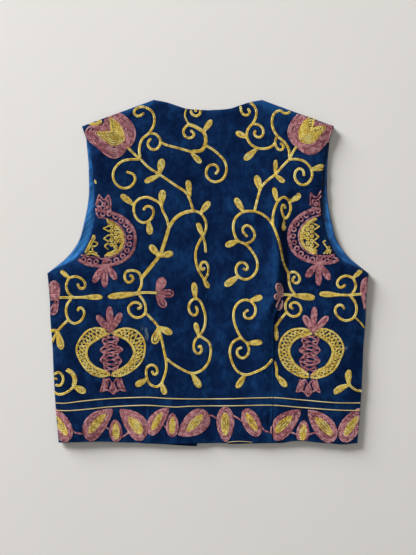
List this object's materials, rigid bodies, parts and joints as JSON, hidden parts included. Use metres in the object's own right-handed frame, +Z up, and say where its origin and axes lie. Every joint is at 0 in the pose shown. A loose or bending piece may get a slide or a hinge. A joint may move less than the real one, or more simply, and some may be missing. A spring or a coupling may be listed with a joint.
{
  "type": "embroidered velvet waistcoat laid flat",
  "caption": "Sleeveless lined velvet waistcoat with curved back seams and scrolling embroidery, laid flat with its back upwards.",
  "frame": {"origin": "on the surface it lies on, under the middle of the garment's length and width", "axes": "+Y towards the neck, +X to the right as seen from above, +Z up out of the back"},
  "size_m": [0.4666, 0.5036, 0.0098],
  "materials": {
    "velvet_back": "dark blue cotton velvet with a crushed nap, hand embroidered in gold and dusty pink",
    "velvet_front": "dark blue cotton velvet, face down",
    "satin_lining": "mid blue satin lining",
    "thread_gold": "gold yellow stranded thread in chain stitch",
    "thread_pink": "dusty pink stranded thread in chain stitch",
    "cord_gold": "dull gold couched cord"
  },
  "bodies": {
    "root": {"back_centre": "velvet_back", "back_side_left": "velvet_back", "back_side_right": "velvet_back", "front_left": "velvet_front", "front_right": "velvet_front", "front_lining_left": "satin_lining", "front_lining_right": "satin_lining"}
  },
  "joints": []
}
